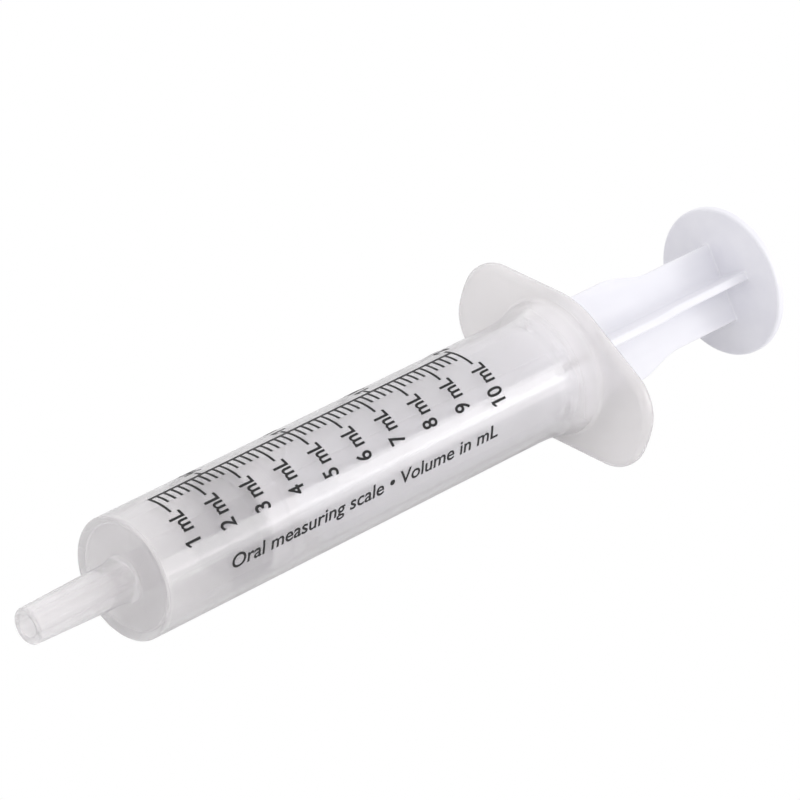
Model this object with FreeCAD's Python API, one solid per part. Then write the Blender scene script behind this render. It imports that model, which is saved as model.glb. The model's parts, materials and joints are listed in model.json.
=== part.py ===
import FreeCAD, Part
import math
import os

# Ten-millilitre oral syringe: a moulded barrel with nozzle and finger flange, an elastomer
# seal that slides in its bore, and a cross-finned plunger rod whose knob is held in the seal.
# Millimetres. X runs from the nozzle to the thumb disc, Z is up, and the flange's lobes point along Y.

# ---- scale: everything in the bore follows from the volume it has to measure ----
BORE_R = 7.325            # 168.56 mm2, so 1 mL is 5.933 mm of travel
WALL = 0.95
BARREL_R = BORE_R + WALL
FRONT_WALL = 0.95
NOZZLE_LEN = 15.7
NOZZLE_BASE_R = 2.85      # tapers by 0.41 over its length, so that it jams in an adapter
NOZZLE_TIP_R = 2.44
NOZZLE_BORE_R = 1.45
NOZZLE_CHAMFER = 0.15     # at the mouth of the nozzle's bore
TIP_EDGE = 0.35           # rounding of the nozzle's tip
NOZZLE_FOOT = 1.0         # fillet where the nozzle meets the front wall
RIM_FILLET = 0.4          # outer edge of the front wall
BORE_FOOT = 0.4           # fillet at the front end of the bore
DRAIN_EDGE = 0.2          # rounding where the chamber opens into the nozzle

# ---- finger flange: a waisted rhombus with rounded lobes ----
FLANGE_MID_X = 77.8
FLANGE_T = 2.0
FLANGE_WAIST = 10.8       # from the axis to a straight side
FLANGE_REACH = 17.3       # from the axis to the end of a lobe
FLANGE_CORNER = 6.5
FLANGE_HALF_ANGLE = math.radians(16.0)
FLANGE_EDGE = 0.9
FLARE_CORNER_X = 72.0     # where the barrel wall turns outward towards the flange
FLARE_R = 9.3
FLARE_BEND = 20.0         # radius of that turn
FLARE_FOOT = 0.6          # fillet between the flare and the flange's face

# ---- bore mouth and retention bead ----
BEAD_X = 72.9
BEAD_R = BORE_R - 0.11
BEAD_TOP = 0.4            # half lengths of the bead at its top and at its foot
BEAD_BASE = 1.6
MOUTH_X = 75.4
MOUTH_R = 8.6
MOUTH_CHAMFER = 0.3
BORE_BEND = 3.0           # radius of every soft bend near the mouth

# ---- seal, at the 2.75 mL mark ----
SEAL_X = 16.61
SEAL_LEN = 7.3
RIB_R = BORE_R - 0.025    # running fit in the bore
SEAL_BODY_R = 6.95
RIB_T = 1.7
RIB_SLOPE = 0.4           # length of the slope from a rib down to the body
LIP_EDGE = 0.35           # rounding of the front lip
RIB_EDGE = 0.25
BACK_EDGE = 0.3           # rounding of the back edge and of the groove's corners
CAVITY_R = 4.65
CAVITY_NECK_R = 3.35
CAVITY_END_R = 3.2
CAVITY_NECK_T = 2.2       # depth of the neck, of the wide part's end and of the cavity, from the back
CAVITY_WIDE_T = 3.6
CAVITY_DEPTH = 5.0
CAVITY_EDGE = 0.2
KNOB_GAP = 0.05
KNOB_NOSE = 0.4           # rounding of the knob's nose

# ---- plunger rod ----
FIN_T = 1.1
FIN_R = 7.10              # in the bore
FIN_NARROW_R = 5.5        # behind the flange
FIN_NECK_R = 3.3
FIN_EDGE = 0.25
FIN_FILLET = 0.6          # inner corners where two fins meet
RAMP_START = 28.5
RAMP_END = 31.4
RAMP_BENDS = (1.2, 1.0)
NARROW_START = 91.7
NARROW_END = 97.2
NARROW_BEND = 12.0
FIN_ROLL = math.radians(-48.0)  # the first plate leans this far from upright, towards +Y
COLLAR_R = 5.6
COLLAR_T = 1.25
COLLAR_EDGE = 0.3
DISC_X = 110.45
DISC_R = 10.5
DISC_T = 1.25
DISC_EDGE = 0.35

LENGTH = NOZZLE_LEN + DISC_X + DISC_T
FRONT_FACE_X = NOZZLE_LEN - LENGTH / 2
AXIS = FreeCAD.Vector(FRONT_FACE_X, 0, FLANGE_WAIST)


def rounded(points, closed=True):
    """Edges through (a, b, radius) corners, each corner replaced by a tangent arc."""
    n = len(points)
    vec = [FreeCAD.Vector(p[0], 0, p[1]) for p in points]
    starts, ends, arcs = [], [], []
    for i in range(n):
        here, radius = vec[i], points[i][2]
        inner = closed or 0 < i < n - 1
        if radius <= 0 or not inner:
            starts.append(here)
            ends.append(here)
            arcs.append(None)
            continue
        to_prev = (vec[i - 1] - here).normalize()
        to_next = (vec[(i + 1) % n] - here).normalize()
        half = to_prev.getAngle(to_next) / 2
        tangent = radius / math.tan(half)
        a, b = here + to_prev * tangent, here + to_next * tangent
        bisector = (to_prev + to_next).normalize()
        middle = here + bisector * (radius / math.sin(half) - radius)
        starts.append(a)
        ends.append(b)
        arcs.append(Part.Arc(a, middle, b).toShape())
    edges = []
    for i in range(n if closed else n - 1):
        j = (i + 1) % n
        if (starts[j] - ends[i]).Length > 1e-6:
            edges.append(Part.makeLine(ends[i], starts[j]))
        if arcs[j] is not None:
            edges.append(arcs[j])
    return edges


def turned(points):
    """Solid of revolution about X from a closed (x, radius, corner radius) outline."""
    wire = Part.Wire(Part.__sortEdges__(rounded(points)))
    origin, axis = FreeCAD.Vector(0, 0, 0), FreeCAD.Vector(1, 0, 0)
    return Part.Face(wire).revolve(origin, axis, 360)


def placed(shape, roll=0.0):
    """Roll a shape about the syringe's axis, then carry the axis to its place."""
    shape.rotate(FreeCAD.Vector(0, 0, 0), FreeCAD.Vector(1, 0, 0), math.degrees(roll))
    shape.translate(AXIS)
    return shape


def flange_outline():
    """Closed wire in the YZ plane, long axis on Y: waist arcs, straight sides, lobe corners, ends."""
    reach, waist, corner, phi = FLANGE_REACH, FLANGE_WAIST, FLANGE_CORNER, FLANGE_HALF_ANGLE
    turn = math.asin((waist - corner) / (reach - corner)) - phi
    centre = (reach - corner) * math.cos(turn), (reach - corner) * math.sin(turn)

    def polar(radius, angle, about=(0.0, 0.0)):
        return about[0] + radius * math.cos(angle), about[1] + radius * math.sin(angle)

    up = math.pi / 2
    corner_mid = (turn + up - phi) / 2
    quarter = [
        ("arc", polar(reach, 0), polar(reach, turn / 2), polar(reach, turn)),
        ("arc", polar(reach, turn), polar(corner, corner_mid, centre), polar(corner, up - phi, centre)),
        ("line", polar(corner, up - phi, centre), polar(waist, up - phi)),
        ("arc", polar(waist, up - phi), polar(waist, up - phi / 2), polar(waist, up)),
    ]
    edges = []
    for sy, sz in ((1, 1), (-1, 1), (-1, -1), (1, -1)):
        for kind, *pts in quarter:
            vs = [FreeCAD.Vector(0, sy * y, sz * z) for y, z in pts]
            edges.append(Part.makeLine(*vs) if kind == "line" else Part.Arc(*vs).toShape())
    return Part.Wire(Part.__sortEdges__(edges))


def flange():
    """Flange plate with both rims rounded, its long axis on Y."""
    plate = Part.Face(flange_outline()).extrude(FreeCAD.Vector(FLANGE_T, 0, 0))
    rims = [e for e in plate.Edges if max(v.X for v in e.Vertexes) - min(v.X for v in e.Vertexes) < 1e-6]
    plate = plate.makeFillet(FLANGE_EDGE, rims)
    plate.translate(FreeCAD.Vector(FLANGE_MID_X - FLANGE_T / 2, 0, 0))
    return plate


def barrel():
    """Barrel, nozzle and flange in one moulding, bored through."""
    face = FLANGE_MID_X - FLANGE_T / 2
    back = FLANGE_MID_X + FLANGE_T / 2
    beyond = 1.0          # the cutting shape runs this far past both ends
    outside = turned([
        (-NOZZLE_LEN, 0, 0),
        (-NOZZLE_LEN, NOZZLE_TIP_R, TIP_EDGE),
        (0, NOZZLE_BASE_R, NOZZLE_FOOT),
        (0, BARREL_R, RIM_FILLET),
        (FLARE_CORNER_X, BARREL_R, FLARE_BEND),
        (face, FLARE_R, FLARE_FOOT),
        (face, FLANGE_WAIST - FLANGE_EDGE, 0),
        (FLANGE_MID_X, FLANGE_WAIST - FLANGE_EDGE, 0),
        (FLANGE_MID_X, 0, 0),
    ])
    inside = turned([
        (-NOZZLE_LEN - beyond, 0, 0),
        (-NOZZLE_LEN - beyond, NOZZLE_BORE_R + NOZZLE_CHAMFER + beyond, 0),
        (-NOZZLE_LEN + NOZZLE_CHAMFER, NOZZLE_BORE_R, 0),
        (FRONT_WALL, NOZZLE_BORE_R, DRAIN_EDGE),
        (FRONT_WALL, BORE_R, BORE_FOOT),
        (BEAD_X - BEAD_BASE, BORE_R, BORE_BEND),
        (BEAD_X - BEAD_TOP, BEAD_R, BORE_BEND),
        (BEAD_X + BEAD_TOP, BEAD_R, BORE_BEND),
        (BEAD_X + BEAD_BASE, BORE_R, BORE_BEND),
        (MOUTH_X, BORE_R, BORE_BEND),
        (back - MOUTH_CHAMFER, MOUTH_R, 0),
        (back + beyond, MOUTH_R + MOUTH_CHAMFER + beyond, 0),
        (back + beyond, 0, 0),
    ])
    return outside.fuse(flange()).cut(inside).removeSplitter().Solids[0]


def seal():
    """Elastomer piston: two ribs that run on the bore, and a cavity for the rod's knob."""
    x, back = SEAL_X, SEAL_X + SEAL_LEN
    return turned([
        (x, 0, 0),
        (x, RIB_R, LIP_EDGE),
        (x + RIB_T, RIB_R, RIB_EDGE),
        (x + RIB_T + RIB_SLOPE, SEAL_BODY_R, BACK_EDGE),
        (back - RIB_T - RIB_SLOPE, SEAL_BODY_R, BACK_EDGE),
        (back - RIB_T, RIB_R, RIB_EDGE),
        (back, RIB_R, BACK_EDGE),
        (back, CAVITY_NECK_R, RIB_EDGE),
        (back - CAVITY_NECK_T, CAVITY_NECK_R, 0),
        (back - CAVITY_NECK_T, CAVITY_R, CAVITY_EDGE),
        (back - CAVITY_WIDE_T, CAVITY_R, CAVITY_EDGE),
        (back - CAVITY_DEPTH, CAVITY_END_R, CAVITY_EDGE),
        (back - CAVITY_DEPTH, 0, 0),
    ])


def knob_and_collar():
    """Mushroom knob inside the seal, its neck, and the collar that pushes on the seal's back."""
    back = SEAL_X + SEAL_LEN
    collar = back + KNOB_GAP
    knob_r, neck_r = CAVITY_R - KNOB_GAP, CAVITY_NECK_R - KNOB_GAP
    nose = back - CAVITY_DEPTH + 2 * KNOB_GAP
    return turned([
        (nose, 0, 0),
        (nose, CAVITY_END_R - 2 * KNOB_GAP, KNOB_NOSE),
        (back - CAVITY_WIDE_T + KNOB_GAP, knob_r, CAVITY_EDGE),
        (back - CAVITY_NECK_T - KNOB_GAP, knob_r, CAVITY_EDGE),
        (back - CAVITY_NECK_T - KNOB_GAP, neck_r, 0),
        (collar, neck_r, 0),
        (collar, COLLAR_R, COLLAR_EDGE),
        (collar + COLLAR_T, COLLAR_R, COLLAR_EDGE),
        (collar + COLLAR_T, 0, 0),
    ])


def plate():
    """One full-width fin plate: neck, ramp to the bore width, then the waist behind the flange."""
    start = SEAL_X + SEAL_LEN + KNOB_GAP + 0.5 * COLLAR_T
    half = [
        (start, FIN_NECK_R, 0),
        (RAMP_START, FIN_NECK_R, RAMP_BENDS[0]),
        (RAMP_END, FIN_R, RAMP_BENDS[1]),
        (NARROW_START, FIN_R, NARROW_BEND),
        (NARROW_END, FIN_NARROW_R, NARROW_BEND),
        (DISC_X + 0.5 * DISC_T, FIN_NARROW_R, 0),
    ]
    outline = half + [(x, -r, c) for x, r, c in reversed(half)]
    face = Part.Face(Part.Wire(Part.__sortEdges__(rounded(outline))))
    face.translate(FreeCAD.Vector(0, -FIN_T / 2, 0))
    slab = face.extrude(FreeCAD.Vector(0, FIN_T, 0))
    ends = (start, DISC_X + 0.5 * DISC_T)
    rims = []
    for edge in slab.Edges:
        ys = [v.Y for v in edge.Vertexes]
        xs = [v.X for v in edge.Vertexes]
        at_end = any(abs(max(xs) - e) < 1e-6 and abs(min(xs) - e) < 1e-6 for e in ends)
        if max(ys) - min(ys) < 1e-6 and not at_end:
            rims.append(edge)
    return slab.makeFillet(FIN_EDGE, rims)


def rod():
    """Cross of two plates between the collar and the thumb disc, with filleted inner corners."""
    first = plate()
    second = plate()
    second.rotate(FreeCAD.Vector(0, 0, 0), FreeCAD.Vector(1, 0, 0), 90)
    cross = first.fuse(second)
    t = FIN_T / 2
    inner = []
    for edge in cross.Edges:
        if all(abs(abs(v.Y) - t) < 1e-6 and abs(abs(v.Z) - t) < 1e-6 for v in edge.Vertexes):
            if abs(edge.Vertexes[0].X - edge.Vertexes[-1].X) > RAMP_END - RAMP_START:
                inner.append(edge)
    cross = cross.makeFillet(FIN_FILLET, inner)
    disc = turned([
        (DISC_X, 0, 0),
        (DISC_X, DISC_R, DISC_EDGE),
        (DISC_X + DISC_T, DISC_R, DISC_EDGE),
        (DISC_X + DISC_T, 0, 0),
    ])
    return knob_and_collar().fuse([cross, disc]).removeSplitter().Solids[0]


NODES = {
    "barrel": placed(barrel()),
    "plunger_seal": placed(seal()),
    "plunger_rod": placed(rod(), FIN_ROLL),
}

os.makedirs("parts", exist_ok=True)
for name, shape in NODES.items():
    shape.exportStep("parts/" + name + ".step")
    box = shape.optimalBoundingBox()
    print(name, shape.ShapeType, "solids", len(shape.Solids), "valid", shape.isValid())
    print("  volume %.1f mm3" % shape.Volume, "x %.2f..%.2f" % (box.XMin, box.XMax),
          "y %.2f..%.2f" % (box.YMin, box.YMax), "z %.2f..%.2f" % (box.ZMin, box.ZMax))
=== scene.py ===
# %% [markdown]
# # A ten-millilitre oral syringe
# The real object is three mouldings: a hazy polypropylene barrel with a long nozzle and a
# finger flange, a pale silicone seal that slides in its bore, and a white plunger rod whose
# knob is held in the seal. Black ink on the barrel carries the scale.
# Every surface below is a function of two parameters, worked out with numpy as whole arrays:
# one parameter runs along a profile, the other runs round the syringe's axis.

# %% Load the fixed frame
import json
import math
import bmesh
import bpy
import numpy as np
from mathutils import Matrix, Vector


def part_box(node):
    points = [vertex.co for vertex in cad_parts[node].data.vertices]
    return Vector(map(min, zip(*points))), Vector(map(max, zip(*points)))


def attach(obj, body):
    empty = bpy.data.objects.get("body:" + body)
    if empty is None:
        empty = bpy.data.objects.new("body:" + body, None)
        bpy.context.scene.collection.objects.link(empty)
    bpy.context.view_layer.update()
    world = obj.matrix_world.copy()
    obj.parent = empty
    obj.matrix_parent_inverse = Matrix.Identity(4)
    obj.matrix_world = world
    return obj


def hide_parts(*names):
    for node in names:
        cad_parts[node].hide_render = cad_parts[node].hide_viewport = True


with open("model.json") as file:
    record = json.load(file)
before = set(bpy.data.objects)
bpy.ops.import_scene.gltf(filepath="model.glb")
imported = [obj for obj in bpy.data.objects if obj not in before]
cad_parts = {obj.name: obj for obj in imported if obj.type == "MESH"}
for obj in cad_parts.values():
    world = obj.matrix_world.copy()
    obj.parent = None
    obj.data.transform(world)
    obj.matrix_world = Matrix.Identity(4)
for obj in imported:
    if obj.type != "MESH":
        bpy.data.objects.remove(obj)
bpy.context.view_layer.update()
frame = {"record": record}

# %% [markdown]
# ## Where the syringe lies
# Moulders dimension a barrel from its front face, so every piece here is worked out in
# millimetres with x = 0 at that face and y = z = 0 on the axis, and is then carried to its
# place in metres. The frame's own mounts say where the axis is and how large the barrel is,
# so nothing has to be fitted by eye.

# %% Frame values
MM = 0.001
mounts = {mount["name"]: mount for mount in frame["record"]["mounts"]}
AXIS_Z = mounts["barrel_sleeve"]["pos_m"][2] / MM
BARREL_R = mounts["barrel_sleeve"]["dims"]["r_mm"]
NOZZLE_BORE_R = mounts["nozzle_bore"]["dims"]["r_mm"]
NOZZLE_LEN = 15.7
FRONT_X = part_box("barrel")[0].x / MM + NOZZLE_LEN
ORIGIN = np.array([FRONT_X, 0.0, AXIS_Z])
print("front face at x = %.2f mm, axis at z = %.2f mm" % (FRONT_X, AXIS_Z))

# %% [markdown]
# ## Profiles with rounded corners
# A moulded edge is never sharp: the mould is cut with small radii, and the eye reads them as
# fine bright lines. A Bevel modifier could round a finished mesh, but on a turned shape it is
# simpler to round the profile first. Each corner becomes an arc that is tangent to both runs,
# with one extra point just outside each end of the arc. Those hold points keep flat faces
# shading flat beside a round edge.

# %% Rounded profile
def unit(v):
    """v divided by its length."""
    return v / np.linalg.norm(v)


def rounded_profile(corners, step=11.0, hold=0.04):
    """Points (x, r) along straight runs joined by tangent arcs, from (x, r, radius) corners.

    With a and b the unit vectors from a corner to its neighbours and h half the angle between
    them, the arc starts radius / tan(h) along a and ends as far along b, and its centre is
    radius / sin(h) along their bisector. Its points are the blend
    (sin((1 - t) w) p + sin(t w) q) / sin(w) of the two end radii p and q, w apart. They are at
    most step degrees apart, and the hold points lie `hold` outside the arc's ends.
    """
    points = [np.array([corners[0][:2]], float)]
    for before, here, after in zip(corners, corners[1:], corners[2:]):
        corner, radius = np.array(here[:2], float), here[2]
        a = unit(np.array(before[:2], float) - corner)
        b = unit(np.array(after[:2], float) - corner)
        h = math.acos(np.clip(a @ b, -1, 1)) / 2
        reach = radius / math.tan(h)
        centre = corner + unit(a + b) * radius / math.sin(h)
        p, q = corner + a * reach - centre, corner + b * reach - centre
        w = math.pi - 2 * h
        t = np.linspace(0, 1, max(3, math.ceil(math.degrees(w) / step) + 1))[:, None]
        arc = centre + (np.sin((1 - t) * w) * p + np.sin(t * w) * q) / math.sin(w)
        points += [[corner + a * (reach + hold)], arc, [corner + b * (reach + hold)]]
    points.append(np.array([corners[-1][:2]], float))
    return np.vstack(points)


def no_longer_than(points, longest):
    """The same line with points added evenly on each run longer than `longest`."""
    gaps = np.linalg.norm(np.diff(points, axis=0), axis=1)
    counts = np.maximum(1, np.ceil(gaps / longest)).astype(int)
    runs = [a + (b - a) * np.linspace(0, 1, n, endpoint=False)[:, None]
            for a, b, n in zip(points, points[1:], counts)]
    return np.vstack(runs + [points[-1:]])


def ring_angles(count):
    """Evenly spaced angles for one turn about the axis, from +Y towards +Z."""
    return np.arange(count) * (2 * math.pi / count)


def turned(profile, count):
    """Rings of a surface of revolution: (x, r) becomes (x, r cos a, r sin a) at every angle a."""
    a = ring_angles(count)
    x = np.repeat(profile[:, :1], count, axis=1)
    return np.stack([x, profile[:, 1:] * np.cos(a), profile[:, 1:] * np.sin(a)], axis=-1)


# %% [markdown]
# ## From rings to a closed mesh
# A stack of rings with the same number of points is a grid, and each cell of the grid is one
# four-sided face. A tube that returns to its start joins its last ring to its first. A solid
# end closes with a fan of triangles on one pole point. The signed volume tells whether the
# faces point outwards, so they are turned over when it comes out negative.

# %% Skin over rings
def signed_volume(points, triangles):
    """A sixth of the sum of a . (b x c) over all triangles: positive if they face outwards."""
    a, b, c = (points[triangles[:, k]] for k in range(3))
    return np.einsum("ij,ij->", a, np.cross(b, c)) / 6


def skin(name, rings, loop=False, poles=None):
    """A closed mesh object over (K, N, 3) rings in syringe millimetres, placed in metres.

    loop joins the last ring to the first; poles is the pair of points that close the two ends.
    """
    k, n = rings.shape[:2]
    i, j = np.meshgrid(np.arange(k if loop else k - 1), np.arange(n), indexing="ij")
    up, right = (i + 1) % k, (j + 1) % n
    quads = np.stack([i * n + j, i * n + right, up * n + right, up * n + j], -1).reshape(-1, 4)
    points = rings.reshape(-1, 3)
    fans = np.empty((0, 3), int)
    if poles is not None:
        first, nxt = np.arange(n), (np.arange(n) + 1) % n
        last = (k - 1) * n
        fans = np.vstack([np.stack([nxt, first, np.full(n, k * n)], -1),
                          np.stack([last + first, last + nxt, np.full(n, k * n + 1)], -1)])
        points = np.vstack([points, poles])
    triangles = np.vstack([quads[:, :3], quads[:, [0, 2, 3]], fans])
    if signed_volume(points, triangles) < 0:
        quads, fans = quads[:, ::-1], fans[:, ::-1]
    mesh = bpy.data.meshes.new(name)
    mesh.from_pydata((points + ORIGIN) * MM, [], quads.tolist() + fans.tolist())
    mesh.shade_smooth()
    piece = bpy.data.objects.new(name, mesh)
    bpy.context.scene.collection.objects.link(piece)
    print("%s: %d faces, %.0f mm3" % (name, len(mesh.polygons), abs(signed_volume(points, triangles))))
    return piece


# %% [markdown]
# ## The finger flange's outline
# Two fingers pull on the flange, so it is a rhombus with rounded ends, cut in to a waist where
# it only has to be as wide as the barrel. A quarter of the outline is four pieces: an end arc
# about the axis, a corner arc, a straight side, and a waist arc about the axis. For each angle
# round the axis the distance to the outline has a closed formula, so one call gives the whole
# ring, and the normal there lets the same ring be shrunk for the rounded rim.

# %% Flange outline
FLANGE_WAIST = 10.8
FLANGE_REACH = 17.3
FLANGE_CORNER = 6.5
FLANGE_SLANT = math.radians(16)


def flange_ring(angle, inset):
    """(y, z) of the flange's outline at each angle, moved inwards by inset along its normal.

    End: distance = reach. Corner arc about a centre c at angle g: distance =
    c cos(a - g) + sqrt(corner^2 - c^2 sin^2(a - g)). Side: distance = waist / cos(a - s), with
    s the side's normal. Waist: distance = waist. Folding the angle gives the other quarters.
    """
    fold = np.arctan2(np.abs(np.sin(angle)), np.abs(np.cos(angle)))
    c = FLANGE_REACH - FLANGE_CORNER
    side = math.pi / 2 - FLANGE_SLANT
    g = math.asin((FLANGE_WAIST - FLANGE_CORNER) / c) - FLANGE_SLANT
    tangent = np.array([c * math.cos(g) + FLANGE_CORNER * math.cos(side),
                        c * math.sin(g) + FLANGE_CORNER * math.sin(side)])
    last = math.atan2(tangent[1], tangent[0])
    off = np.clip(c * np.sin(fold - g), -FLANGE_CORNER, FLANGE_CORNER)
    corner = c * np.cos(fold - g) + np.sqrt(FLANGE_CORNER ** 2 - off ** 2)
    where = [fold <= g, fold <= last, fold <= side]
    with np.errstate(divide="ignore"):
        straight = FLANGE_WAIST / np.cos(fold - side)
    distance = np.select(where, [np.full_like(fold, FLANGE_REACH), corner, straight], FLANGE_WAIST)
    y, z = distance * np.cos(fold), distance * np.sin(fold)
    bend = np.arctan2(z - c * math.sin(g), y - c * math.cos(g))
    normal = np.select(where, [fold, bend, np.full_like(fold, side)], fold)
    y, z = y - inset * np.cos(normal), z - inset * np.sin(normal)
    return np.stack([y * np.sign(np.cos(angle)), z * np.sign(np.sin(angle))], -1)


# %% [markdown]
# ## The barrel
# Nozzle, chamber and flange come out of one mould, so they are one skin: it starts at the
# nozzle's tip, runs along the outside, round the flange's rim and back through the bore to the
# tip again. Only the flange is not round, so there the rings change from a circle to the
# outline. Near its mouth the bore has a low bead, which keeps the seal from being pulled out.

# %% Barrel dimensions
BORE_R = 7.325
FRONT_WALL = 0.95
NOZZLE_TIP_R = 2.44
NOZZLE_BASE_R = 2.85
NOZZLE_CHAMFER = 0.15
NOZZLE_FOOT = 1.0
TIP_ROUND = 0.35
RIM_FILLET = 0.4
DRAIN_EDGE = 0.2
SEAM = 0.04

FLANGE_FRONT = 76.8
FLANGE_BACK = 78.8
FLANGE_EDGE = 0.9
FLARE_X = 72.0
FLARE_R = 9.3
FLARE_BEND = 20.0
FLARE_FOOT = 0.6

BEAD_X = 72.9
BEAD_H = 0.11
BEAD_TOP = 0.4
BEAD_BASE = 1.6
BORE_BEND = 3.0
BORE_FOOT = 0.4
MOUTH_X = 75.4
MOUTH_R = 8.6
MOUTH_CHAMFER = 0.3
MOUTH_ROUND = 0.06
FINE_ROUND = 0.1

AROUND = 288
LONGEST_FACE = 3.0
FRONT_SHARES = (0.2, 0.45, 0.7, 0.93)
BACK_SHARES = (0.07, 0.3, 0.55, 0.8)
print("wall %.2f mm, flange %.1f mm thick" % (BARREL_R - BORE_R, FLANGE_BACK - FLANGE_FRONT))

# %% Barrel skin
def rim_rings(angle):
    """Rings round the flange's rim: a quarter arc, a narrow flat and a quarter arc.

    At turn t the ring is edge (1 - sin t) inside the outline and edge (1 - cos t) from a face.
    """
    t = np.radians(np.linspace(0, 90, 9))
    inset = FLANGE_EDGE * (1 - np.sin(t))
    depth = FLANGE_EDGE * (1 - np.cos(t))
    xs = np.concatenate([FLANGE_FRONT + depth, (FLANGE_BACK - depth)[::-1]])
    insets = np.concatenate([inset, inset[::-1]])
    rings = [flange_ring(angle, value) for value in insets]
    return np.stack([np.column_stack([np.full(len(angle), x), ring]) for x, ring in zip(xs, rings)])


def face_rings(from_ring, to_ring, shares):
    """Flat rings between two rings: (1 - s) from + s to, for each share s."""
    s = np.asarray(shares)[:, None, None]
    return (1 - s) * from_ring + s * to_ring


def barrel_rings():
    """The whole closed skin of the barrel, as rings along its profile."""
    angle = ring_angles(AROUND)
    tip, foot = -NOZZLE_LEN, FLARE_R + FLARE_FOOT
    mouth, bead = MOUTH_R + MOUTH_CHAMFER, BORE_R - BEAD_H
    outside = rounded_profile([
        (tip, NOZZLE_BORE_R + NOZZLE_CHAMFER, 0),
        (tip, NOZZLE_TIP_R, TIP_ROUND),
        (0, NOZZLE_BASE_R, NOZZLE_FOOT),
        (0, BARREL_R, RIM_FILLET),
        (FLARE_X, BARREL_R, FLARE_BEND),
        (FLANGE_FRONT, FLARE_R, FLARE_FOOT),
        (FLANGE_FRONT, foot, 0)])
    inside = rounded_profile([
        (FLANGE_BACK, mouth + FINE_ROUND, 0),
        (FLANGE_BACK, mouth, MOUTH_ROUND),
        (FLANGE_BACK - MOUTH_CHAMFER, MOUTH_R, FINE_ROUND),
        (MOUTH_X, BORE_R, BORE_BEND),
        (BEAD_X + BEAD_BASE, BORE_R, BORE_BEND),
        (BEAD_X + BEAD_TOP, bead, BORE_BEND),
        (BEAD_X - BEAD_TOP, bead, BORE_BEND),
        (BEAD_X - BEAD_BASE, BORE_R, BORE_BEND),
        (FRONT_WALL, BORE_R, BORE_FOOT),
        (FRONT_WALL, NOZZLE_BORE_R, DRAIN_EDGE),
        (tip + NOZZLE_CHAMFER, NOZZLE_BORE_R, FINE_ROUND),
        (tip + SEAM, NOZZLE_BORE_R + NOZZLE_CHAMFER - SEAM, 0)])
    outside = turned(no_longer_than(outside, LONGEST_FACE), AROUND)
    inside = turned(no_longer_than(inside, LONGEST_FACE), AROUND)
    rim = rim_rings(angle)
    front = face_rings(outside[-1], rim[0], FRONT_SHARES)
    back = face_rings(rim[-1], inside[0], BACK_SHARES)
    return np.concatenate([outside, front, rim, back, inside])


barrel = skin("barrel_moulding", barrel_rings(), loop=True)

# %% [markdown]
# ## How thick the plastic is
# The same plastic looks clear where it is thin and milky where it is thick, because the light
# meets more crystals. Measuring the thickness with rays would be slow and noisy, and here it is
# known from the design: the flange is the thickest place, and a little milk also shows in the
# corner between the chamber and its front wall, and at the nozzle's root. A value from 0 to 1 on
# each vertex says how milky it is there. Each place is a box in x and r with soft sides, so it
# is a product of smooth steps, and the barrel takes the largest of the three.

# %% Milkiness on the barrel's vertices
FLANGE_MILK = 0.7
CORNER_MILK = 0.2
ROOT_MILK = 0.1
CORNER_DEPTH = (0.3, 1.1)
ROOT_FROM = (-1.6, -0.4)
ROOT_TO = (1.0, 2.0)
ROOT_R = (3.4, 4.6)


def rise(value, start, end):
    """Smooth step: 0 before start, 1 after end, 3 t^2 - 2 t^3 between them."""
    t = np.clip((value - start) / (end - start), 0, 1)
    return t * t * (3 - 2 * t)


def milkiness(x, r):
    """Most in the flange, some in the front corner and the nozzle's root, 0 in the chamber's wall.

    Falling from 1 to 0 between two values is one minus the smooth step between them.
    """
    flange = rise(x, FLARE_X, FLANGE_FRONT - FLANGE_EDGE / 2)
    corner = rise(r, BORE_R - 0.2, BORE_R + 0.5) * (1 - rise(x, *CORNER_DEPTH))
    root = (1 - rise(r, *ROOT_R)) * rise(x, *ROOT_FROM) * (1 - rise(x, *ROOT_TO))
    return np.max([FLANGE_MILK * flange, CORNER_MILK * corner, ROOT_MILK * root], axis=0)


co = np.empty(len(barrel.data.vertices) * 3)
barrel.data.vertices.foreach_get("co", co)
co = co.reshape(-1, 3) / MM - ORIGIN
milk = milkiness(co[:, 0], np.hypot(co[:, 1], co[:, 2]))
milk_attribute = barrel.data.attributes.new("milk", "FLOAT", "POINT")
milk_attribute.data.foreach_set("value", milk.astype(np.float32))
print("%.0f %% of the barrel's vertices lie in thick plastic" % (100 * np.mean(milk > FLANGE_MILK / 2)))

# %% [markdown]
# ## The seal
# The piston is a short silicone plug. Two raised ribs run on the bore, so that only they rub,
# and a mushroom-shaped cavity at the back holds the rod's knob. Its profile starts on the axis
# in front and ends on the axis inside the cavity, so both ends close on a pole.

# %% Seal skin
SEAL_X = 16.61
SEAL_LEN = 7.3
SEAL_BACK = SEAL_X + SEAL_LEN
RIB_R = BORE_R - 0.025
SEAL_BODY_R = 6.95
RIB_T = 1.7
RIB_SLOPE = 0.4
LIP_EDGE = 0.35
RIB_EDGE = 0.25
BACK_EDGE = 0.3
CAVITY_R = 4.65
CAVITY_NECK_R = 3.35
CAVITY_END_R = 3.2
CAVITY_NECK_T = 2.2
CAVITY_WIDE_T = 3.6
CAVITY_DEPTH = 5.0
CAVITY_EDGE = 0.2
CAVITY_STEP = 0.05
POLE_R = 0.4
SEAL_AROUND = 192
SEAL_FACE = 1.2

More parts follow.
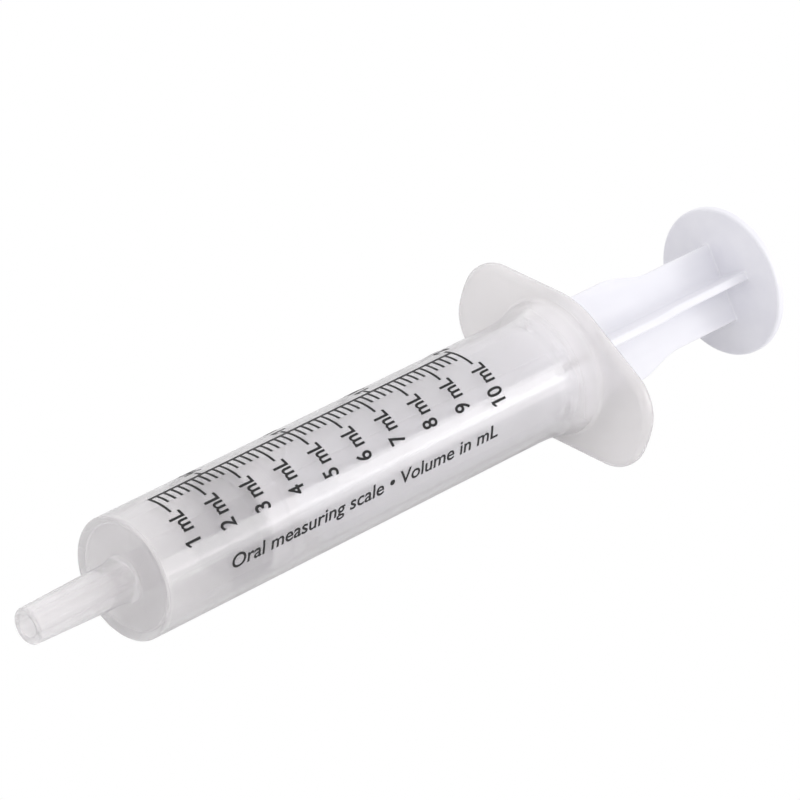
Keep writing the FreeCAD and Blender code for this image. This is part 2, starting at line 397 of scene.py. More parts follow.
groove_front, groove_back = SEAL_X + RIB_T + RIB_SLOPE, SEAL_BACK - RIB_T - RIB_SLOPE
seal_profile = rounded_profile([
    (SEAL_X, POLE_R, 0),
    (SEAL_X, RIB_R, LIP_EDGE),
    (SEAL_X + RIB_T, RIB_R, RIB_EDGE),
    (groove_front, SEAL_BODY_R, BACK_EDGE),
    (groove_back, SEAL_BODY_R, BACK_EDGE),
    (SEAL_BACK - RIB_T, RIB_R, RIB_EDGE),
    (SEAL_BACK, RIB_R, BACK_EDGE),
    (SEAL_BACK, CAVITY_NECK_R, RIB_EDGE),
    (SEAL_BACK - CAVITY_NECK_T, CAVITY_NECK_R, CAVITY_STEP),
    (SEAL_BACK - CAVITY_NECK_T, CAVITY_R, CAVITY_EDGE),
    (SEAL_BACK - CAVITY_WIDE_T, CAVITY_R, CAVITY_EDGE),
    (SEAL_BACK - CAVITY_DEPTH, CAVITY_END_R, CAVITY_EDGE),
    (SEAL_BACK - CAVITY_DEPTH, POLE_R, 0)])
seal = skin("seal_moulding", turned(no_longer_than(seal_profile, SEAL_FACE), SEAL_AROUND),
            poles=[(SEAL_X, 0, 0), (SEAL_BACK - CAVITY_DEPTH, 0, 0)])

# %% [markdown]
# ## The rod's cross section
# Two thin plates cross on the axis. That is the stiffest shape that still fills and cools fast
# in the mould. One eighth of the outline is drawn: half a fin's tip, the rounded edge, the
# flank, and half of the fillet where two fins meet. Mirrors and quarter turns give the rest.
# Only the tip moves when a fin gets wider, so each point carries the share of the fin's half
# width that it follows, and its normal, which lets the outline swell into a fillet.

# %% Cross outline
HALF_T = 0.55
TIP_EDGE = 0.25
INNER_FILLET = 0.6
FLANK_POINTS = 7


def eighth():
    """Base points, shares of the half width, and normals, from a fin's middle to the inner fillet.

    Tip arc: centre (w - e, t - e). Flank: evenly from (w - e, t) to (t + f, t). Inner arc:
    centre (t + f, t + f), swept 45 degrees to the diagonal.
    """
    e, f, t = TIP_EDGE, INNER_FILLET, HALF_T
    a = np.radians(np.linspace(0, 90, 5))
    s = np.linspace(0, 1, FLANK_POINTS + 2)[1:-1]
    b = np.radians(np.linspace(0, 45, 5))
    base = np.vstack([
        [[0, 0]],
        np.column_stack([-e + e * np.cos(a), t - e + e * np.sin(a)]),
        np.column_stack([-e * (1 - s) + (t + f) * s, np.full_like(s, t)]),
        np.column_stack([t + f - f * np.sin(b), t + f - f * np.cos(b)])])
    share = np.concatenate([[1], np.ones(5), 1 - s, np.zeros(5)])
    normal = np.vstack([
        [[1, 0]],
        np.column_stack([np.cos(a), np.sin(a)]),
        np.column_stack([0 * s, 1 + 0 * s]),
        np.column_stack([np.sin(b), np.cos(b)])])
    return base, np.column_stack([share, 0 * share]), normal


def whole_cross():
    """The eighth mirrored about the diagonal, then turned by 0, 90, 180 and 270 degrees."""
    quarter = [np.vstack([part, part[-2:0:-1, ::-1]]) for part in eighth()]
    turns = [np.array([[c, s], [-s, c]]) for c, s in ((1, 0), (0, 1), (-1, 0), (0, -1))]
    return [np.vstack([part @ turn for turn in turns]) for part in quarter]


CROSS_BASE, CROSS_SHARE, CROSS_NORMAL = whole_cross()
ROD_AROUND = len(CROSS_BASE)


def cross_rings(x, half_width, swell):
    """Rings of the cross: base + half width * share + swell * normal, at each x."""
    x, half_width, swell = np.broadcast_arrays(x, half_width, swell)
    yz = (CROSS_BASE + half_width[:, None, None] * CROSS_SHARE
          + swell[:, None, None] * CROSS_NORMAL)
    return np.concatenate([np.repeat(x[:, None, None], ROD_AROUND, axis=1), yz], axis=-1)


print("the cross outline has %d points" % ROD_AROUND)

# %% [markdown]
# ## The plunger rod
# Knob, collar, fins and thumb disc are one moulding and so one skin. The round parts want
# evenly spaced points and the cross wants them crowded at the fin tips, so the flat rings that
# lead from one to the other turn each point gradually from one spacing to the other. A small
# swell of the cross beside the collar and the disc makes the fillets at the fins' roots.

# %% Rod dimensions
KNOB_GAP = 0.05
KNOB_NOSE_GAP = 0.1
KNOB_NOSE_X = SEAL_BACK - CAVITY_DEPTH + KNOB_NOSE_GAP
KNOB_NOSE = 0.4
COLLAR_X = SEAL_BACK + KNOB_GAP
COLLAR_T = 1.25
COLLAR_R = 5.6
COLLAR_EDGE = 0.3
COLLAR_FLAT_R = 5.0
FIN_NECK_R = 3.3
FIN_R = 7.10
FIN_NARROW_R = 5.5
RAMP_START = 28.5
RAMP_END = 31.4
RAMP_BENDS = (1.2, 1.0)
NARROW_START = 91.7
NARROW_END = 97.2
NARROW_BEND = 12.0
FIN_GAP = 0.6
DISC_X = 110.45
DISC_R = 10.5
DISC_T = 1.25
DISC_EDGE = 0.35
DISC_FLAT_R = 9.5
DISC_POLE_R = 0.5
ROOT_FILLET = 0.3
FIN_ROLL = math.radians(-48)
print("rod from x = %.1f to %.1f mm" % (KNOB_NOSE_X, DISC_X + DISC_T))

# %% Rod skin
def web_rings(cross, circle, count):
    """Flat rings from the cross to an even circle, in polar form, as many as count says.

    The radius goes from the cross's own to the circle's, and the angle from the cross's own to
    the even one with share s^2, so that the first rings leave the fins at right angles.
    """
    r0, a0 = np.hypot(cross[:, 1], cross[:, 2]), np.unwrap(np.arctan2(cross[:, 2], cross[:, 1]))
    r1, a1 = np.hypot(circle[:, 1], circle[:, 2]), ring_angles(ROD_AROUND)
    s = np.linspace(0, 1, count + 2)[1:-1, None]
    r, a = r0 + (r1 - r0) * s, a0 + (a1 - a0) * s ** 2
    return np.stack([np.full_like(r, cross[0, 0]), r * np.cos(a), r * np.sin(a)], -1)


def rolled(rings, roll):
    """Every point turned about the axis by roll."""
    c, s = math.cos(roll), math.sin(roll)
    return rings @ np.array([[1, 0, 0], [0, c, s], [0, -s, c]])


def rod_rings():
    """Rings of the rod, from the knob's face to the thumb disc's back."""
    knob_r, neck_r = CAVITY_R - KNOB_GAP, CAVITY_NECK_R - KNOB_GAP
    collar_back, disc_back = COLLAR_X + COLLAR_T, DISC_X + DISC_T
    knob_front = SEAL_BACK - CAVITY_WIDE_T + KNOB_GAP
    knob_back = SEAL_BACK - CAVITY_NECK_T - KNOB_GAP
    front = rounded_profile([
        (KNOB_NOSE_X, POLE_R, 0),
        (KNOB_NOSE_X, CAVITY_END_R - KNOB_NOSE_GAP, KNOB_NOSE),
        (knob_front, knob_r, CAVITY_EDGE),
        (knob_back, knob_r, CAVITY_EDGE),
        (knob_back, neck_r, CAVITY_STEP),
        (COLLAR_X, neck_r, CAVITY_STEP),
        (COLLAR_X, COLLAR_R, COLLAR_EDGE),
        (collar_back, COLLAR_R, COLLAR_EDGE),
        (collar_back, COLLAR_FLAT_R, 0)])
    back = rounded_profile([
        (DISC_X, DISC_FLAT_R, 0),
        (DISC_X, DISC_R, DISC_EDGE),
        (disc_back, DISC_R, DISC_EDGE),
        (disc_back, DISC_POLE_R, 0)], step=9.0)
    fins = no_longer_than(rounded_profile([
        (collar_back + FIN_GAP, FIN_NECK_R, 0),
        (RAMP_START, FIN_NECK_R, RAMP_BENDS[0]),
        (RAMP_END, FIN_R, RAMP_BENDS[1]),
        (NARROW_START, FIN_R, NARROW_BEND),
        (NARROW_END, FIN_NARROW_R, NARROW_BEND),
        (DISC_X - FIN_GAP, FIN_NARROW_R, 0)], step=4.0), 2.5)
    t = np.radians(np.linspace(0, 90, 7))
    depth, swell = ROOT_FILLET * (1 - np.sin(t)), ROOT_FILLET * (1 - np.cos(t))
    disc_root = cross_rings(DISC_X - depth, FIN_NARROW_R, swell)
    collar_root = cross_rings(collar_back + depth[::-1], FIN_NECK_R, swell[::-1])
    front = turned(no_longer_than(front, 1.0), ROD_AROUND)
    back = turned(no_longer_than(back, 1.2), ROD_AROUND)
    collar_web = web_rings(collar_root[0], front[-1], 4)[::-1]
    disc_web = web_rings(disc_root[-1], back[0], 7)
    fins = cross_rings(fins[:, 0], fins[:, 1], 0.0)
    return np.concatenate([front, collar_web, collar_root, fins, disc_root, disc_web, back])


rod = skin("rod_moulding", rolled(rod_rings(), FIN_ROLL + math.pi / 2),
           poles=[(KNOB_NOSE_X, 0, 0), (DISC_X + DISC_T, 0, 0)])

# %% [markdown]
# ## The print, drawn flat
# A barrel is printed from flat artwork that it is rolled across. The same is done here: ticks
# and letters are laid out on a plane, u round the barrel and v along it, and the sheet is then
# bent onto the cylinder in one step. An image texture could carry the scale, but real shapes
# stay sharp at any distance. Each mark is a thin closed slab that stands 0.02 mm proud.
# Angles are measured from the top of the barrel towards its printed side.

# %% Print dimensions
INK_H = 0.02
INK_FOOT = 0.006
STROKE = 0.40
ML_STEP = 1000 / (math.pi * BORE_R ** 2)
NOZZLE_VOLUME = math.pi * NOZZLE_BORE_R ** 2 * (NOZZLE_LEN + FRONT_WALL)
ZERO_X = FRONT_WALL - NOZZLE_VOLUME / (math.pi * BORE_R ** 2)
SPINE = -28.0
MINOR_END = -12.5
MAJOR_END = -1.0
LABEL_END = 0.2
TSP_END = -36.0
TSP_LABEL = -38.0
CAPTION_FOOT = 70.5
CAPTION_X = 10.9
CAPTION_LEN = 47.2
CAP_H = 2.37
LABEL_LENGTH = 5.0
LABEL_BOLD = 0.055
CAPTION_CAP = 1.66
CAPTION_BOLD = 0.035
CAPTION_SLOPE = 0.2
FLAG = np.array([(0.0, 2.42), (-0.42, 2.02), (-0.42, 1.68), (0.0, 2.0)])
SHARPEST = 0.8
TEASPOON_ML = 5.0


def arc_length(degrees):
    """Length on the barrel's surface of an angle in degrees."""
    return np.radians(degrees) * BARREL_R


def mark_x(millilitres):
    """Place of a volume mark: the zero mark plus one step of travel for each millilitre."""
    return ZERO_X + ML_STEP * np.asarray(millilitres, float)


print("1 mL is %.3f mm of travel, and its mark lies at x = %.2f mm" % (ML_STEP, mark_x(1)))

# %% Slabs on the flat sheet
def slabs(u0, u1, v0, v1):
    """Points and faces of closed boxes, one for each (u0, u1, v0, v1), as whole arrays."""
    u0, u1, v0, v1 = (np.ravel(a) for a in np.broadcast_arrays(u0, u1, v0, v1))
    w0, w1 = np.full(u0.shape, -INK_FOOT), np.full(u0.shape, INK_H)
    u, v, w = np.stack([u0, u1]), np.stack([v0, v1]), np.stack([w0, w1])
    bits = np.array([[i & 1, i >> 1 & 1, i >> 2] for i in range(8)])
    points = np.stack([u[bits[:, 0]], v[bits[:, 1]], w[bits[:, 2]]], -1).transpose(1, 0, 2)
    box = np.array([[0, 2, 3, 1], [4, 5, 7, 6], [0, 1, 5, 4],
                    [2, 6, 7, 3], [0, 4, 6, 2], [1, 3, 7, 5]])
    faces = (np.arange(len(u0))[:, None, None] * 8 + box).reshape(-1, 4)
    return points.reshape(-1, 3), faces


# %% [markdown]
# ## Letters as slabs
# The built-in font gives each letter as a flat fill of triangles. An edge that only one
# triangle uses lies on the outline, and its right-hand side faces outwards. Moving the outline
# points along those directions makes the strokes bolder, and joining the outline to a copy
# below it makes a closed slab. Text objects can extrude by themselves, but their own
# thickening closes small counters such as the one in a 4.

# %% Letters on the flat sheet
def letter_fill(text, slope=0.0):
    """Flat (x, y) points and anticlockwise triangles of the text, with shared points merged."""
    curve = bpy.data.curves.new("letters", "FONT")
    curve.body, curve.shear, curve.fill_mode, curve.resolution_u = text, slope, "FRONT", 6
    sample = bpy.data.objects.new("letters", curve)
    bpy.context.scene.collection.objects.link(sample)
    bpy.context.view_layer.update()
    evaluated = sample.evaluated_get(bpy.context.evaluated_depsgraph_get())
    mesh = bpy.data.meshes.new_from_object(evaluated)
    mesh.calc_loop_triangles()
    co, tri = np.empty(len(mesh.vertices) * 3), np.empty(len(mesh.loop_triangles) * 3, np.int32)
    mesh.vertices.foreach_get("co", co)
    mesh.loop_triangles.foreach_get("vertices", tri)
    bpy.data.objects.remove(sample)
    bpy.data.meshes.remove(mesh)
    points, same = np.unique(co.reshape(-1, 3)[:, :2].round(5), axis=0, return_inverse=True)
    tri = same.ravel()[tri].reshape(-1, 3)
    a, b, c = (points[tri[:, k]] for k in range(3))
    turn = (b[:, 0] - a[:, 0]) * (c[:, 1] - a[:, 1]) - (b[:, 1] - a[:, 1]) * (c[:, 0] - a[:, 0])
    real = np.abs(turn) > 1e-12
    tri, turn = tri[real], turn[real]
    tri[turn < 0] = tri[turn < 0][:, ::-1]
    return points, tri


def outline_edges(tri, count):
    """Directed edges that no other triangle uses the other way round."""
    edges = np.concatenate([tri[:, [0, 1]], tri[:, [1, 2]], tri[:, [2, 0]]])
    alone = ~np.isin(edges[:, 0] * count + edges[:, 1], edges[:, 1] * count + edges[:, 0])
    return edges[alone]


def letters(text, cap, stretch=1.0, slope=0.0, bolder=0.0):
    """Closed slab letters, baseline on y = 0, capitals `cap` high, strokes `bolder` each side.

    An outline point moves by bolder * 2 n / |n|^2, with n the sum of its two edges' outward
    unit normals, which keeps the new stroke parallel to the old one. |n|^2 counts as at least
    SHARPEST, so that a very sharp point doesn't shoot out.
    """
    points, tri = letter_fill(text, slope)
    points = points * (stretch * cap / FONT_CAP, cap / FONT_CAP)
    edges = outline_edges(tri, len(points))
    along = points[edges[:, 1]] - points[edges[:, 0]]
    out = np.column_stack([along[:, 1], -along[:, 0]]) / np.linalg.norm(along, axis=1)[:, None]
    n = np.zeros_like(points)
    np.add.at(n, edges[:, 0], out)
    np.add.at(n, edges[:, 1], out)
    points = points + bolder * 2 * n / np.maximum((n ** 2).sum(1), SHARPEST)[:, None]
    points[:, 0] -= points[:, 0].min()
    return thick(points, tri)


def thick(points, tri):
    """A closed slab from flat points and triangles: top, turned-over bottom, and side faces."""
    count = len(points)
    a, b = outline_edges(tri, count).T
    sides = np.vstack([np.column_stack([a + count, b + count, b]),
                       np.column_stack([a + count, b, a])])
    solid = np.vstack([np.column_stack([points, np.full(count, INK_H)]),
                       np.column_stack([points, np.full(count, -INK_FOOT)])])
    return solid, np.vstack([tri, tri[:, ::-1] + count, sides])


def laid(part, along, up, corner):
    """The part's x runs along `along` and its y along `up` on the (u, v) sheet, from `corner`."""
    points, faces = part
    flat = np.array(corner) + points[:, :1] * np.array(along) + points[:, 1:2] * np.array(up)
    return np.column_stack([flat, points[:, 2]]), faces


FONT_CAP = letter_fill("H")[0][:, 1].max()
print("the font's capitals are %.3f of its size" % FONT_CAP)

# %% [markdown]
# ## Rolling the sheet onto the barrel
# A long flat face can't bend, so the sheet is first cut into strips 0.3 mm wide across the
# direction that bends. Then each point at arc length u, distance v and height w goes to
# angle u / R, x = v and radius R + w. The cuts only add points on existing faces, so the
# shapes of the letters don't change.

# %% Wrap the artwork
STRIP = 0.3


def rolled_on(name, parts):
    """One object from flat (points, faces) parts, cut into strips and bent onto the barrel."""
    sheet = bmesh.new()
    for points, faces in parts:
        flat = bpy.data.meshes.new("flat")
        flat.from_pydata(points, [], faces.tolist())
        sheet.from_mesh(flat)
        bpy.data.meshes.remove(flat)
    us = [v.co.x for v in sheet.verts]
    for u in np.arange(min(us) + STRIP / 2, max(us), STRIP):
        bmesh.ops.bisect_plane(sheet, geom=sheet.verts[:] + sheet.edges[:] + sheet.faces[:],
                               dist=1e-4, plane_co=(u, 0, 0), plane_no=(1, 0, 0))
    bmesh.ops.remove_doubles(sheet, verts=sheet.verts[:], dist=1e-4)
    bmesh.ops.triangulate(sheet, faces=[f for f in sheet.faces if len(f.verts) > 4])
    mesh = bpy.data.meshes.new(name)
    sheet.to_mesh(mesh)
    sheet.free()
    co = np.empty(len(mesh.vertices) * 3)
    mesh.vertices.foreach_get("co", co)
    u, v, w = co.reshape(-1, 3).T
    angle, radius = u / BARREL_R, BARREL_R + w
    xyz = np.column_stack([v, -radius * np.sin(angle), radius * np.cos(angle)])
    mesh.vertices.foreach_set("co", ((xyz + ORIGIN) * MM).ravel())
    mesh.update()
    piece = bpy.data.objects.new(name, mesh)
    bpy.context.scene.collection.objects.link(piece)
    print("%s: %d faces" % (name, len(mesh.polygons)))
    return piece


# %% [markdown]
# ## The millilitre and teaspoon scales
# The spine runs from the first to the last mark. Every fifth tick is long and has a number;
# the four between are 0.2 mL apart. The teaspoon scale shares the spine, on its far side, with
# a mark each 2.5 mL. Below the millilitre numbers runs a plain caption, parallel to the axis.

# %% Scales and captions
ROUND_TO_U = (-1, 0)
FRONT_TO_UP = (0, -1)
whole = np.arange(1, 11)
fifths = np.arange(1, 10)[:, None] + np.arange(1, 5) / 5
half_stroke = STROKE / 2
spine_edge = 0.9 * math.degrees(half_stroke / BARREL_R)


def ticks(volumes, start, end):
    """Slabs one stroke wide at each volume mark, from one angle to another."""
    x = mark_x(volumes)
    low, high = sorted((arc_length(start), arc_length(end)))
    return slabs(low, high, x - half_stroke, x + half_stroke)


spine = slabs(arc_length(SPINE) - half_stroke, arc_length(SPINE) + half_stroke,
              mark_x(1) - half_stroke, mark_x(10) + half_stroke)
millilitre_scale = rolled_on("ink_millilitre_scale", [
    spine, ticks(fifths, SPINE + spine_edge, MINOR_END), ticks(whole, SPINE + spine_edge, MAJOR_END)])


def label(words, volume, far_end=None, start=None):
    """Words across a volume mark, from a start angle, or ending at a far angle.

    The font's 1 is a plain stroke, so one that starts a label gets the flag that makes it a 1.
    """
    part = letters(words, CAP_H, LABEL_STRETCH, bolder=LABEL_BOLD)
    length = part[0][:, 0].max()
    u = arc_length(start) if far_end is None else arc_length(far_end) + length
    corner = (u, float(mark_x(volume)) + CAP_H / 2)
    parts = [part]
    if words.startswith("1"):
        parts.append(thick(FLAG, np.array([[0, 1, 2], [0, 2, 3]])))
    return [laid(each, ROUND_TO_U, FRONT_TO_UP, corner) for each in parts]


LABEL_STRETCH = LABEL_LENGTH / letters("5 mL", CAP_H)[0][:, 0].max()
millilitre_labels = rolled_on("ink_millilitre_labels", [
    part for volume in whole for part in label("%d mL" % volume, volume, far_end=LABEL_END)])

tsp_volumes = TEASPOON_ML * np.array([0.5, 1.0, 1.5, 2.0])
tsp_words = ("½ tsp", "1 tsp", "1½ tsp", "2 tsp")
tsp_labels = [part for volume, words in zip(tsp_volumes, tsp_words)
              for part in label(words, volume, start=TSP_LABEL)]
teaspoon_scale = rolled_on("ink_teaspoon_scale", [
    ticks(tsp_volumes, TSP_END, SPINE - spine_edge)] + tsp_labels)

line = "Oral measuring scale • Volume in mL"
line_stretch = CAPTION_LEN / letters(line, CAPTION_CAP, slope=CAPTION_SLOPE)[0][:, 0].max()
line = letters(line, CAPTION_CAP, line_stretch, slope=CAPTION_SLOPE, bolder=CAPTION_BOLD)
caption = rolled_on("ink_caption", [
    laid(line, (0, 1), (-1, 0), (arc_length(CAPTION_FOOT), CAPTION_X))])

# %% [markdown]
# ## Colours and nodes
# Colours are picked as sRGB hex values, as a paint chart gives them, and the renderer works
# with linear light, so one function converts them. A second small function adds a node, sets
# its values and makes its links. Pattern sizes are given in millimetres: a noise of size s has
# a scale of one over s in metres.

# %% Colour and node helpers
def linear(hex_colour):
    """sRGB hex to linear RGBA: v / 12.92 below 0.04045, else ((v + 0.055) / 1.055) ^ 2.4."""
    v = np.array([int(hex_colour[i:i + 2], 16) for i in (1, 3, 5)]) / 255
    rgb = np.where(v <= 0.04045, v / 12.92, ((v + 0.055) / 1.055) ** 2.4)
    return (*rgb.tolist(), 1.0)


def add(tree, kind, inputs=None, **settings):
    """A node with its settings; each input is a value, or a socket to link from."""
    node = tree.nodes.new("ShaderNode" + kind)
    for name, value in settings.items():
        setattr(node, name, value)
    for name, value in (inputs or {}).items():
        if isinstance(value, bpy.types.NodeSocket):
            tree.links.new(value, node.inputs[name])
        else:
            node.inputs[name].default_value = value
    return node


def per_mm(size):
    """Texture scale for a pattern of that size in millimetres."""
    return 1 / (size * MM)


def blank(name):
    """A new material with an empty node tree, and its object coordinates."""
    material = bpy.data.materials.new(name)
    material.use_nodes = True
    tree = material.node_tree
    tree.nodes.clear()
    return material, tree, add(tree, "TexCoord").outputs["Object"]


def finished(tree, shader):
    """Links a shader to the material's output."""
    add(tree, "OutputMaterial", {"Surface": shader.outputs[0]})


def waves(tree, place, size, low, high, detail=2.0):
    """Noise of a size in millimetres, mapped from its middle range to low..high."""
    noise = add(tree, "TexNoise", {"Vector": place, "Scale": per_mm(size), "Detail": detail})
    return add(tree, "MapRange", {"Value": noise.outputs["Fac"], "From Min": 0.35, "From Max": 0.65,
                                  "To Min": low, "To Max": high}).outputs["Result"]


# %% [markdown]
# ## Natural polypropylene
# The barrel is polypropylene with no pigment. Its crystals scatter light, so a wall 1 mm thick
# is hazy: printed marks on it are sharp and things behind it are soft. Some light goes straight
# through, some goes through blurred, some comes back as a milky grey, and the polished mould
# leaves a clear gloss. A true scattering volume would be slow and noisy, so each share is set
# on one shader: alpha for the straight part, rough transmission for the blurred part, the base
# colour for the milk, and a coat for the gloss.

# %% Natural polypropylene
def natural_polypropylene():
    """Hazy, milky, glossy: the wall is part clear, part milk, and the coat is its polished skin.

    Thick plastic is milkier and lets less light through. Where the surface turns edge on to the
    view its colour is painted grey: painted shade, for the dark edges along the outline.
    """
    material, tree, place = blank("natural_polypropylene")
    cloud = waves(tree, place, 9.0, 0.0, 1.0)
    thin = add(tree, "Mix", {"Factor": cloud, "A": linear("#FDFBFC"), "B": linear("#FAF8F9")},
               data_type="RGBA")
    milk = add(tree, "Attribute", attribute_name="milk").outputs["Fac"]
    body = add(tree, "Mix", {"Factor": milk, "A": thin.outputs["Result"], "B": linear("#F7F4F4")},
               data_type="RGBA")
    # Painted shade: grey mixed into the colour as the surface turns edge on to the view.
    facing = add(tree, "LayerWeight", {"Blend": 0.5}).outputs["Facing"]
    edge_shade_amount = add(tree, "MapRange", {"Value": facing, "From Min": 0.55, "From Max": 1.0})
    colour = add(tree, "Mix", {"Factor": edge_shade_amount.outputs["Result"],
                               "A": body.outputs["Result"], "B": linear("#A09EA2")}, data_type="RGBA")
    clear = add(tree, "MapRange", {"Value": milk, "To Min": 0.75, "To Max": 0.35}).outputs["Result"]
    skin_waves = add(tree, "TexNoise", {"Vector": place, "Scale": per_mm(3.0), "Detail": 1.0})
    bump = add(tree, "Bump", {"Height": skin_waves.outputs["Fac"], "Strength": 0.03, "Distance": 0.05 * MM})
    shader = add(tree, "BsdfPrincipled", {
        "Base Color": colour.outputs["Result"],
        "Roughness": waves(tree, place, 1.5, 0.18, 0.22),
        "IOR": 1.49,
        "Transmission Weight": clear,
        "Alpha": 0.75,
        "Coat Weight": 1.0,
        "Coat Roughness": 0.14,
        "Coat IOR": 1.6,
        "Normal": bump.outputs["Normal"]})
    finished(tree, shader)
    return material


# %% [markdown]
# ## White silicone and white polypropylene
# The seal is silicone rubber: soft-looking, with a broad dull highlight, since its mould is
# blasted rather than polished. Its front is painted a darker grey than the rest: painted shade,
# for the shadow it sits in inside the bore. The rod is polypropylene with a white pigment,
# bright and smooth, with a faint streakiness where the plastic flowed along it.

# %% White silicone
# Painted shade: the seal's front is coloured grey, turning white between these distances behind its front
# face.
FRONT_SHADE_FADE_START = 1.5
FRONT_SHADE_FADE_END = 2.6


def white_silicone():
    """Satin white rubber, with its front painted a shaded grey that fades to white further back."""
    material, tree, place = blank("white_silicone")
    along = add(tree, "SeparateXYZ", {"Vector": place}).outputs["X"]
    face_x = FRONT_X + SEAL_X
    front_shade_fade = add(tree, "MapRange", {"Value": along, "From Min": (face_x + FRONT_SHADE_FADE_START) * MM,
                                  "From Max": (face_x + FRONT_SHADE_FADE_END) * MM})
    # Painted shade: this grey stands for the shadow on the seal's front inside the bore.
    solid = add(tree, "Mix", {"Factor": waves(tree, place, 2.5, 0.0, 1.0),
                              "A": linear("#908D95"), "B": linear("#89868E")}, data_type="RGBA")
    colour = add(tree, "Mix", {"Factor": front_shade_fade.outputs["Result"],
                               "A": solid.outputs["Result"], "B": linear("#DEDCE1")}, data_type="RGBA")
    grain = add(tree, "TexNoise", {"Vector": place, "Scale": per_mm(0.25), "Detail": 3.0})
    bump = add(tree, "Bump", {"Height": grain.outputs["Fac"], "Strength": 0.2, "Distance": 0.02 * MM})
    shader = add(tree, "BsdfPrincipled", {
        "Base Color": colour.outputs["Result"],
        "Roughness": waves(tree, place, 1.0, 0.42, 0.52),
        "IOR": 1.41,
        "Normal": bump.outputs["Normal"]})
    finished(tree, shader)
    return material


# %% White polypropylene
def white_polypropylene():
    """Moulded white plastic: bright, satin, with a faint variation drawn out along the rod."""
    material, tree, place = blank("white_polypropylene")
    flow = add(tree, "Mapping", {"Vector": place, "Scale": (0.2, 1.0, 1.0)})
    colour = add(tree, "Mix", {"Factor": waves(tree, flow.outputs["Vector"], 4.0, 0.0, 1.0),
                               "A": linear("#ECECF1"), "B": linear("#E7E7ED")}, data_type="RGBA")
    grain = add(tree, "TexNoise", {"Vector": place, "Scale": per_mm(0.5), "Detail": 2.0})
    bump = add(tree, "Bump", {"Height": grain.outputs["Fac"], "Strength": 0.1, "Distance": 0.02 * MM})
    shader = add(tree, "BsdfPrincipled", {
        "Base Color": colour.outputs["Result"],
        "Roughness": waves(tree, place, 2.0, 0.34, 0.42),
        "IOR": 1.49,
        "Normal": bump.outputs["Normal"]})
    finished(tree, shader)
    return material


# %% [markdown]
# ## Screen ink
# The scale is screen printed: a dense black film with a slight sheen. Ink is a little thinner
# where the mesh lifted, so its black varies by a few percent at the size of the mesh.

# %% Screen ink
def screen_ink():
    """Black film, satin, with a faint mottle as coarse as the screen's mesh."""
    material, tree, place = blank("black_screen_ink")
    colour = add(tree, "Mix", {"Factor": waves(tree, place, 0.3, 0.0, 1.0),
                               "A": linear("#0A0A0B"), "B": linear("#141416")}, data_type="RGBA")
    shader = add(tree, "BsdfPrincipled", {
        "Base Color": colour.outputs["Result"],
        "Roughness": waves(tree, place, 0.6, 0.45, 0.6),
        "IOR": 1.4})
    finished(tree, shader)
    return material


# %% Each piece's finish, body and slot; each piece gets its finish and its body
ink = screen_ink()
pieces = [
    (barrel, natural_polypropylene(), "barrel", "barrel"),
    (seal, white_silicone(), "seal", "plunger_seal"),
    (rod, white_polypropylene(), "rod", "plunger_rod"),
    (millilitre_scale, ink, "barrel", "scale_ink"),
    (millilitre_labels, ink, "barrel", "scale_ink"),
    (teaspoon_scale, ink, "barrel", "scale_ink"),
    (caption, ink, "barrel", "scale_ink")]
for piece, material, body, slot in pieces:
    piece.data.materials.clear()
    piece.data.materials.append(material)
    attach(piece, body)
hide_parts("barrel")
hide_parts("plunger_seal")
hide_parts("plunger_rod")

# %% [markdown]
# ## Studio
# White plastic is lit by what surrounds it. A bright room gives the soft greys, a little
# brighter on the thumb disc's side than on the nozzle's. Two softboxes one above the other,
# low on the caption's side, give the long highlight down the barrel. The floor and the room look
# brighter to the camera than to the object, as in a picture whose background was exposed to
# white.

# %% Floor and room
def studio_floor():
    """A pale grey matt floor, two metres wide, that the camera sees as white."""
    size = 2000.0
    corners = np.array([(-1, -1), (1, -1), (1, 1), (-1, 1)]) * size / 2
    mesh = bpy.data.meshes.new("studio_floor")
    mesh.from_pydata(np.column_stack([corners, np.zeros(4)]) * MM, [], [(0, 1, 2, 3)])
    floor = bpy.data.objects.new("studio_floor", mesh)
    bpy.context.scene.collection.objects.link(floor)
    material, tree, place = blank("matt_white_board")
    seen = add(tree, "LightPath").outputs["Is Camera Ray"]
    board = add(tree, "BsdfDiffuse", {"Color": linear("#ECECEC")})
    glow = add(tree, "Emission", {"Color": (1, 1, 1, 1), "Strength": 1.0})
    finished(tree, add(tree, "MixShader", {0: seen, 1: board.outputs[0], 2: glow.outputs[0]}))
    mesh.materials.append(material)
    return floor


studio_floor()

ROOM = 1.09
ROOM_SLANT = 0.15
room = bpy.data.worlds.new("studio_room")
room.use_nodes = True
tree = room.node_tree
tree.nodes.clear()
seen = add(tree, "LightPath").outputs["Is Camera Ray"]
along = add(tree, "SeparateXYZ", {"Vector": add(tree, "TexCoord").outputs["Generated"]}).outputs["X"]
strength = add(tree, "MapRange", {"Value": along, "From Min": -1.0, "From Max": 1.0,
                                  "To Min": ROOM - ROOM_SLANT, "To Max": ROOM + ROOM_SLANT})
walls = add(tree, "Background", {"Color": linear("#FFFEFF"), "Strength": strength.outputs["Result"]})
white = add(tree, "Background", {"Color": (1, 1, 1, 1), "Strength": 1.0})
mixed = add(tree, "MixShader", {0: seen, 1: walls.outputs[0], 2: white.outputs[0]})
add(tree, "OutputWorld", {"Surface": mixed.outputs[0]})
bpy.context.scene.world = room
print("room strength %.2f to %.2f" % (ROOM - ROOM_SLANT, ROOM + ROOM_SLANT))

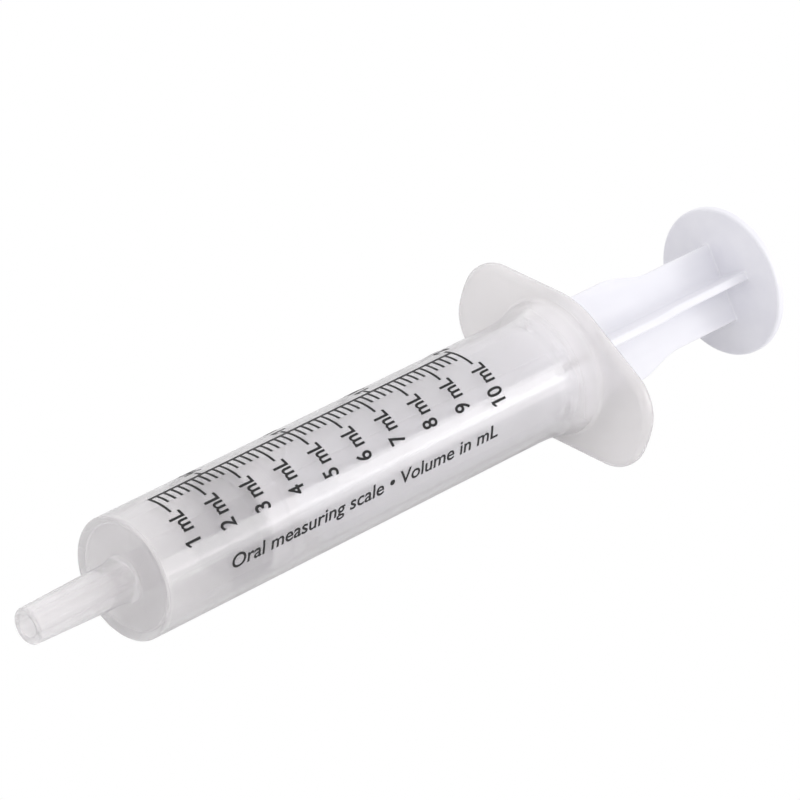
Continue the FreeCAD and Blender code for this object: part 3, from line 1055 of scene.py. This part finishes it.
# %% Softbox
def softbox(name, direction, distance, width, height, radiance):
    """An area light aimed at the middle of the barrel. Its power is radiance * pi * area."""
    data = bpy.data.lights.new(name, "AREA")
    data.shape, data.size, data.size_y = "RECTANGLE", width, height
    data.energy = radiance * math.pi * width * height
    lamp = bpy.data.objects.new(name, data)
    bpy.context.scene.collection.objects.link(lamp)
    target = np.array([0.0, 0.0, AXIS_Z * MM])
    towards = unit(np.array(direction))
    side = unit(np.cross((1, 0, 0), towards))
    lamp.matrix_world = placed(np.cross(side, towards), side, towards, target + towards * distance)
    print("%s: %.0f by %.0f mm, %.2f W" % (name, width / MM, height / MM, data.energy))


def placed(x_axis, y_axis, z_axis, position):
    """The matrix of an object with these axes at this position."""
    turn = np.column_stack([x_axis, y_axis, z_axis])
    return Matrix(np.block([[turn, position[:, None]], [np.array([[0, 0, 0, 1.0]])]]).tolist())


softbox("key_softbox", (0.63, -0.60, 0.50), 0.6, 0.15, 0.26, 2.4)
softbox("low_softbox", (0.63, -0.73, 0.28), 0.6, 0.15, 0.20, 1.3)

# %% [markdown]
# ## Camera
# A product picture is taken from far away with a long lens, so the barrel hardly tapers. The
# camera is given by what it looks at in millimetres, from which side, how high, how far, and
# how much it is rolled about its own line of sight, which sets how steeply the barrel crosses
# the picture.

# %% Camera
VIEW_TARGET = (3.692, 3.930, 13.510)
VIEW_AZIMUTH = math.radians(-54.7195)
VIEW_ELEVATION = math.radians(39.9488)
VIEW_ROLL = math.radians(16.1055)
VIEW_DISTANCE = 710.815
LENS = 248.85

heading = np.array([-math.sin(VIEW_AZIMUTH), math.cos(VIEW_AZIMUTH), 0])
forward = heading * math.cos(VIEW_ELEVATION) - np.array([0, 0, math.sin(VIEW_ELEVATION)])
level = unit(np.cross(forward, (0, 0, 1)))
upright = np.cross(level, forward)
right = level * math.cos(VIEW_ROLL) + upright * math.sin(VIEW_ROLL)
up = np.cross(right, forward)
position = (np.array(VIEW_TARGET) - forward * VIEW_DISTANCE) * MM
camera_data = bpy.data.cameras.new("camera")
camera_data.lens, camera_data.sensor_width = LENS, 36.0
camera_data.clip_start, camera_data.clip_end = 0.05, 10.0
camera = bpy.data.objects.new("camera", camera_data)
bpy.context.scene.collection.objects.link(camera)
camera.matrix_world = placed(right, up, -forward, position)
bpy.context.scene.camera = camera
bpy.context.scene.view_settings.view_transform = "Standard"
print("camera at", position.round(4), "right", right.round(5), "up", up.round(5))
